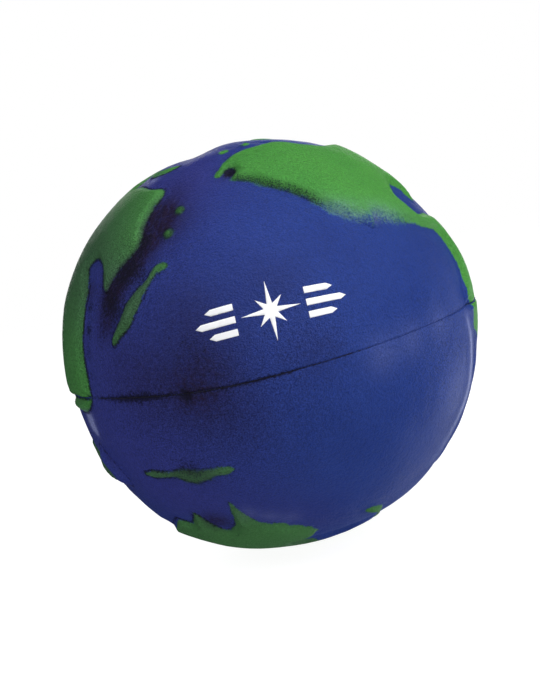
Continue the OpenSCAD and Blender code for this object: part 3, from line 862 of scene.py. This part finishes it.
def foam_ball_tree():
    """A ball of foam cells: a fine sphere whose surface dips into each cell."""
    tree, given = node_tree("foam_ball", {
        "Radius": "Float", "Cell Size": "Float", "Cell Depth": "Float", "Material": "Material"})
    ball = add(tree, "GeometryNodeMeshIcoSphere", {"Radius": given["Radius"], "Subdivisions": 7})
    place = add(tree, "GeometryNodeInputPosition")
    fine = add(tree, "ShaderNodeMath", {0: 1.0, 1: given["Cell Size"]}, operation="DIVIDE")
    cells = add(tree, "ShaderNodeTexVoronoi", {"Vector": place, "Scale": fine})
    wall = add(tree, "ShaderNodeMath", {0: cells, 1: 1.0}, operation="SUBTRACT")
    dip = add(tree, "ShaderNodeMath", {0: wall, 1: given["Cell Depth"]}, operation="MULTIPLY")
    outward = add(tree, "ShaderNodeVectorMath", {0: place}, operation="NORMALIZE")
    push = add(tree, "ShaderNodeVectorMath", {0: outward, "Scale": dip}, operation="SCALE")
    ball = add(tree, "GeometryNodeSetPosition", {"Geometry": ball, "Offset": push})
    ball = add(tree, "GeometryNodeRealizeInstances", {"Geometry": ball})
    soft = add(tree, "GeometryNodeSetShadeSmooth", {"Geometry": ball})
    painted = add(tree, "GeometryNodeSetMaterial", {"Geometry": soft, "Material": given["Material"]})
    add(tree, "NodeGroupOutput", {"Geometry": painted})
    return tree


class GLOBE_OT_foam_core(bpy.types.Operator):
    """Adds the soft cellular core"""

    bl_idname = "foam_globe.core"
    bl_label = "Foam core"

    def execute(self, context):
        material = bare_foam("polyurethane_foam_moulded_cells")
        piece = grown("soft_foam_core", foam_ball_tree(), {
            "Radius": CORE_R * MM, "Cell Size": 1.3 * MM, "Cell Depth": 0.22 * MM,
            "Material": material}, bpy.data.meshes.new("empty"))
        hand_over(piece, "foam_core", material)
        return {"FINISHED"}


class GLOBE_OT_sea_skins(bpy.types.Operator):
    """Adds the two blue half skins, one from each mould half"""

    bl_idname = "foam_globe.sea_skins"
    bl_label = "Sea skins"

    # heights above the parting plane of the rings near the rim, in millimetres
    RINGS = (1.2, 0.95, 0.74, 0.56, 0.42, 0.3, 0.2, 0.11, 0.03)
    # how far below the sea's floor the skin lies under the lands
    SUNK = 0.3
    # how far inside a coast it gets there
    SLOPE = 0.4
    # the inside's grid has cells this many times as wide
    COARSER = 4

    def execute(self, context):
        cells = context.scene.foam_sizes.sea_cells
        material = sprayed_foam("polyurethane_skin_sprayed_sea_blue", 0.42)
        triangles, rim = grid(cells)
        outer = cap(cells, self.RINGS[0] / SEA_R)
        loops = [rim]
        for height in self.RINGS[1:]:
            ring = outer[rim].copy()
            ring[:, 2] = height / SEA_R
            ring[:, :2] = unit(ring[:, :2]) * math.sqrt(1 - ring[0, 2] ** 2)
            loops.append(len(outer) + np.arange(len(rim)))
            outer = np.concatenate([outer, ring])
        for upper, lower in zip(loops[:-1], loops[1:]):
            next_up, next_low = np.roll(upper, -1), np.roll(lower, -1)
            triangles = np.concatenate([
                triangles, np.stack([lower, next_low, next_up], -1), np.stack([lower, next_up, upper], -1)])
        inner_triangles, inner_rim = grid(cells // self.COARSER)
        inner = cap(cells // self.COARSER, self.RINGS[-1] / CORE_R)
        first = len(outer)
        triangles = np.concatenate([triangles, inner_triangles[:, ::-1] + first])
        low, outside = inner_rim + first, loops[-1].reshape(-1, self.COARSER)
        ahead = np.roll(loops[-1], -1).reshape(-1, self.COARSER)
        for k in range(self.COARSER):
            triangles = np.concatenate([triangles, np.stack([low, ahead[:, k], outside[:, k]], -1)])
        triangles = np.concatenate([triangles, np.stack([low, np.roll(low, -1), ahead[:, -1]], -1)])
        for name, node, side in (
                ("sea_skin_north", "ocean_skin_north", 1), ("sea_skin_south", "ocean_skin_south", -1)):
            flip = np.array([1, 1, side])
            facing = outer * flip
            shore = GLOBE.shore(facing)
            height = surface(facing, np.minimum(shore, 0), side)
            floor = ground(facing) - self.SUNK - seam_groove(facing * SEA_R, side)
            height += (floor - height) * smooth(shore / self.SLOPE)
            points = np.concatenate([settle(facing * height[:, None]), settle(inner * flip * CORE_R)])
            marks = paint_marks(facing, shore)
            marks = {m: np.concatenate([v, np.zeros(len(inner))]) for m, v in marks.items()}
            piece = make_piece(name, points, triangles[:, ::side], marks)
            hand_over(piece, node, material)
        return {"FINISHED"}


class GLOBE_OT_lands(bpy.types.Operator):
    """Adds each continent and island as its own raised piece"""

    bl_idname = "foam_globe.lands"
    bl_label = "Raised lands"

    # how far a land's rim runs out past its coast, under the sea paint
    MARGIN = 0.2
    # how far the rim has dipped there, and how far past its edge it reaches that
    DIP = 0.25
    DIP_WIDTH = 0.3
    # how far below the sea's floor a land's underside lies, and how thin a land may be there
    SUNK = 0.25
    THINNEST = 0.05

    def sheet(self, number, cell):
        """Directions over one land and its margin, and their triangles."""
        outline = GLOBE.outlines[number]
        corners = unit(outline.starts)
        out = unit(corners.mean(0))
        east = np.cross((0, 0, 1), out)
        east = unit(east) if np.linalg.norm(east) > 0.01 else np.array([1.0, 0, 0])
        north = np.cross(out, east)
        flat = np.sqrt(2 / (1 + corners @ out))[:, None] * np.stack([corners @ east, corners @ north], -1)
        low, high = flat.min(0) - 3 * cell, flat.max(0) + 3 * cell
        count = int(max(high - low) / cell) + 1
        u, v = np.meshgrid(*(start + cell * np.arange(count + 1) for start in low), indexing="ij")
        u, v = u.ravel(), v.ravel()
        near = u**2 + v**2
        reach = np.sqrt(np.maximum(1 - near / 4, 0))
        directions = (1 - near / 2)[:, None] * out
        directions = directions + (reach * u)[:, None] * east + (reach * v)[:, None] * north
        triangles = grid(count)[0]
        wanted = (u[triangles] < high[0] + cell).all(1) & (v[triangles] < high[1] + cell).all(1)
        used, triangles = np.unique(triangles[wanted], return_inverse=True)
        directions, triangles = directions[used], triangles.reshape(-1, 3)
        inside = GLOBE.own_edge(directions, number) + self.MARGIN
        directions, triangles = trimmed(directions, triangles, inside)
        return unit(directions), triangles

    def execute(self, context):
        material = sprayed_foam("polyurethane_skin_sprayed_land_green", 0.45)
        cell = context.scene.foam_sizes.land_cell / MM / SEA_R
        for number, node in enumerate(LANDS):
            directions, triangles = self.sheet(number, cell)
            side = 1 if BODY_OF[node] == NORTH else -1
            shore = GLOBE.shore(directions)
            own = GLOBE.own_edge(directions, number)
            top = surface(directions, shore, side) - self.DIP * smooth(-own / self.DIP_WIDTH)
            bottom = ground(directions) - self.SUNK - seam_groove(directions * SEA_R, side)
            bottom = np.minimum(bottom, top - self.THINNEST)
            points, triangles = closed_shell(
                directions * top[:, None], directions * bottom[:, None], triangles)
            marks = {m: np.tile(v, 2) for m, v in paint_marks(directions, shore).items()}
            piece = make_piece("land_" + node, settle(points), triangles, marks)
            hand_over(piece, node, material)
        return {"FINISHED"}


class GLOBE_OT_parting_flash(bpy.types.Operator):
    """Adds the torn fin of foam that fills the groove at the parting line"""

    bl_idname = "foam_globe.parting_flash"
    bl_label = "Parting flash"

    # points along the path of the fin
    POINTS = 1440
    # how far the middle of the fin lies above the skin in millimetres, where it is clean, and how
    # much more where it is dirty
    CLEAN = -0.05
    DIRTY = 0.13

    def execute(self, context):
        material = torn_foam("polyurethane_flash_torn_and_sooty")
        turn = np.linspace(0, math.tau, self.POINTS, endpoint=False)
        facing = np.stack([np.cos(turn), np.sin(turn), np.zeros(len(turn))], -1)
        radius = surface(facing, GLOBE.shore(facing), 0)
        radius += self.DIRTY * seam_grime(facing * SEA_R) + self.CLEAN
        path = bpy.data.meshes.new("seam_path")
        ends = np.stack([np.arange(len(turn)), np.roll(np.arange(len(turn)), -1)], -1)
        path.from_pydata((settle(facing * radius[:, None]) * MM).tolist(), ends.tolist(), [])
        piece = grown("torn_parting_flash", torn_fin_tree(), {
            "Fin Radius": 0.06 * MM, "Step": 0.14 * MM, "Tear": 0.2 * MM, "Nibs": 420,
            "Nib Size": 0.09 * MM, "Spread": 0.12 * MM, "Seed": 5, "Material": material}, path)
        places = np.array([v.co for v in piece.data.vertices]) / MM
        piece.data.attributes.new("grime_and_shade", "FLOAT", "POINT").data.foreach_set(
            "value", seam_grime(places).astype(np.float32))
        hand_over(piece, "parting_flash", material)
        return {"FINISHED"}


class GLOBE_OT_prints(bpy.types.Operator):
    """Adds the white print: a compass rose with three bars at each side"""

    bl_idname = "foam_globe.prints"
    bl_label = "Print"

    # spacing of the cuts that let the flat ink follow the curved skin, in millimetres
    CUT = 0.35

    def execute(self, context):
        material = pad_print_ink("pad_print_ink_white")
        film = context.scene.foam_sizes.film / MM
        for node in PRINTS:
            radius = max(v.co.length for v in frame["nodes"][node].data.vertices) / MM
            sheet = GLOBE.outer_face(node, radius)
            middle = sum((v.co for v in sheet.verts), Vector()) / len(sheet.verts)
            east = Vector((0, 0, 1)).cross(middle).normalized()
            north = middle.cross(east).normalized()
            for way in (east, north):
                reach = [v.co.dot(way) / MM for v in sheet.verts]
                for step in np.arange(min(reach) + self.CUT / 2, max(reach), self.CUT):
                    bmesh.ops.bisect_plane(
                        sheet, geom=sheet.verts[:] + sheet.edges[:] + sheet.faces[:],
                        plane_co=way * step * MM, plane_no=way, dist=1e-7)
            bmesh.ops.triangulate(sheet, faces=sheet.faces)
            sheet.verts.index_update()
            facing = unit(np.array([v.co for v in sheet.verts]))
            triangles = np.array([[v.index for v in f.verts] for f in sheet.faces])
            sheet.free()
            height = surface(facing, GLOBE.shore(facing), 1)
            points, triangles = closed_shell(
                facing * (height + film)[:, None], facing * (height - film / 2)[:, None], triangles)
            piece = make_piece("ink_" + node, settle(points), triangles)
            hand_over(piece, node, material)
        return {"FINISHED"}


class GLOBE_OT_studio(bpy.types.Operator):
    """Adds the camera, the soft lights and the pale floor"""

    bl_idname = "foam_globe.studio"
    bl_label = "Studio"

    # each softbox: name, direction it stands in (right, up and back in the view), width in metres,
    # how bright it makes a white surface that faces it, tint
    LIGHTS = (
        ("top_softbox", (0.36, 0.9, 0.25), 0.4, 0.66, "#ffffff"),
        ("right_softbox", (0.75, 0.5, 0.43), 0.4, 0.6, "#ffffff"),
        ("right_edge", (0.58, -0.2, -0.79), 0.4, 0.8, "#eef3ff"),
        ("left_softbox", (-0.75, 0.5, 0.43), 0.4, 0.5, "#f4f6ff"),
        ("low_front", (0.0, -0.6, 0.8), 0.4, 0.56, "#ffffff"),
        ("low_right", (0.5, -0.87, 0.0), 0.4, 0.45, "#ffffff"),
        ("back_softbox", (0.0, 0.1, -1.0), 0.5, 0.4, "#ffffff"),
    )
    LIGHT_DISTANCE = 0.7
    FLOOR_RADIUS = 1.6

    def execute(self, context):
        studio = context.scene.foam_studio
        lens = bpy.data.cameras.new("camera")
        lens.lens = studio.lens
        lens.clip_start = 0.01
        camera = bpy.data.objects.new("camera", lens)
        context.scene.collection.objects.link(camera)
        context.scene.camera = camera
        back = Vector((0, -math.cos(studio.elevation), math.sin(studio.elevation)))
        right = Vector((1, 0, 0))
        up = back.cross(right)
        roll = Matrix.Rotation(studio.roll, 3, -back)
        right, up = roll @ right, roll @ up
        aim = Matrix.Rotation(-studio.aim, 3, right)
        up, facing = aim @ up, aim @ back
        turned = Matrix((right, up, facing)).transposed()
        camera.matrix_world = Matrix.Translation(back * studio.distance) @ turned.to_4x4()

        for name, direction, width, bright, tint in self.LIGHTS:
            light = bpy.data.lights.new(name, "AREA")
            light.size = width
            light.energy = bright * (math.pi * self.LIGHT_DISTANCE) ** 2
            light.color = linear(tint)
            lamp = bpy.data.objects.new(name, light)
            context.scene.collection.objects.link(lamp)
            lamp.location = turned @ Vector(direction).normalized() * self.LIGHT_DISTANCE
            lamp.rotation_euler = lamp.location.to_track_quat("Z", "Y").to_euler()

        floor_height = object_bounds()[0].z
        mesh = bpy.data.meshes.new("floor")
        work = bmesh.new()
        bmesh.ops.create_circle(work, cap_ends=True, radius=self.FLOOR_RADIUS, segments=96)
        bmesh.ops.translate(work, verts=work.verts, vec=(0, 0, floor_height))
        work.to_mesh(mesh)
        work.free()
        floor = bpy.data.objects.new("floor", mesh)
        context.scene.collection.objects.link(floor)
        # a light table: the lamps under the floor shine through it
        floor.visible_shadow = False
        material, tree, where = new_material("matt_white_paper_floor")
        away = add(tree, "ShaderNodeVectorMath", {0: where}, out="Value", operation="LENGTH")
        fade = add(tree, "ShaderNodeMapRange", {"Value": away, "From Min": 0.12, "From Max": 0.5},
                   interpolation_type="SMOOTHSTEP")
        # the floor looks overexposed to the camera, and throws little light back at the ball
        seen = add(tree, "ShaderNodeLightPath", out="Is Camera Ray")
        shade = add(tree, "ShaderNodeMapRange", {"Value": seen, "To Min": 0.12, "To Max": 0.25})
        bright = add(tree, "ShaderNodeMath", {0: seen, 1: 0.94}, operation="MULTIPLY")
        paper = add(tree, "ShaderNodeBsdfDiffuse", {"Color": shade})
        glow = add(tree, "ShaderNodeEmission", {"Color": (1, 1, 1, 1), "Strength": bright})
        lit = add(tree, "ShaderNodeAddShader", {0: paper, 1: glow})
        clear = add(tree, "ShaderNodeBsdfTransparent")
        shader = add(tree, "ShaderNodeMixShader", {0: fade, 1: lit, 2: clear})
        add(tree, "ShaderNodeOutputMaterial", {"Surface": shader})
        mesh.materials.append(material)
        floor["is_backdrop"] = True

        world = bpy.data.worlds.new("studio")
        context.scene.world = world
        world.use_nodes = True
        tree = world.node_tree
        tree.nodes.clear()
        seen = add(tree, "ShaderNodeLightPath", out="Is Camera Ray")
        strength = add(tree, "ShaderNodeMapRange", {"Value": seen, "To Min": 0.05, "To Max": 1.0})
        sky = add(tree, "ShaderNodeBackground", {"Color": (1, 1, 1, 1), "Strength": strength})
        add(tree, "ShaderNodeOutputWorld", {"Surface": sky})
        context.scene.view_settings.view_transform = "Standard"
        return {"FINISHED"}


class GLOBE_PT_builder(bpy.types.Panel):
    """Lists the steps that build the foam globe"""

    bl_label = "Foam globe"
    bl_idname = "GLOBE_PT_builder"
    bl_space_type = "VIEW_3D"
    bl_region_type = "UI"
    bl_category = "Foam globe"

    def draw(self, context):
        for group in (context.scene.foam_sizes, context.scene.foam_colours, context.scene.foam_studio):
            box = self.layout.box()
            for name in group.__annotations__:
                box.prop(group, name)
        for step in STEPS:
            self.layout.operator(step.bl_idname)


STEPS = (
    GLOBE_OT_foam_core,
    GLOBE_OT_sea_skins,
    GLOBE_OT_lands,
    GLOBE_OT_parting_flash,
    GLOBE_OT_prints,
    GLOBE_OT_studio,
)
GROUPS = {"foam_sizes": FoamSizes, "foam_colours": FoamColours, "foam_studio": StudioSettings}


def register():
    for item in (*GROUPS.values(), *STEPS, GLOBE_PT_builder):
        bpy.utils.register_class(item)
    for name, group in GROUPS.items():
        setattr(bpy.types.Scene, name, PointerProperty(type=group))


def unregister():
    for name in GROUPS:
        delattr(bpy.types.Scene, name)
    for item in (GLOBE_PT_builder, *reversed(STEPS), *GROUPS.values()):
        bpy.utils.unregister_class(item)


GLOBE = Globe()


def main():
    register()
    bpy.ops.foam_globe.core()
    bpy.ops.foam_globe.sea_skins()
    bpy.ops.foam_globe.lands()
    bpy.ops.foam_globe.parting_flash()
    bpy.ops.foam_globe.prints()
    bpy.ops.foam_globe.studio()


if __name__ == "__main__":
    main()
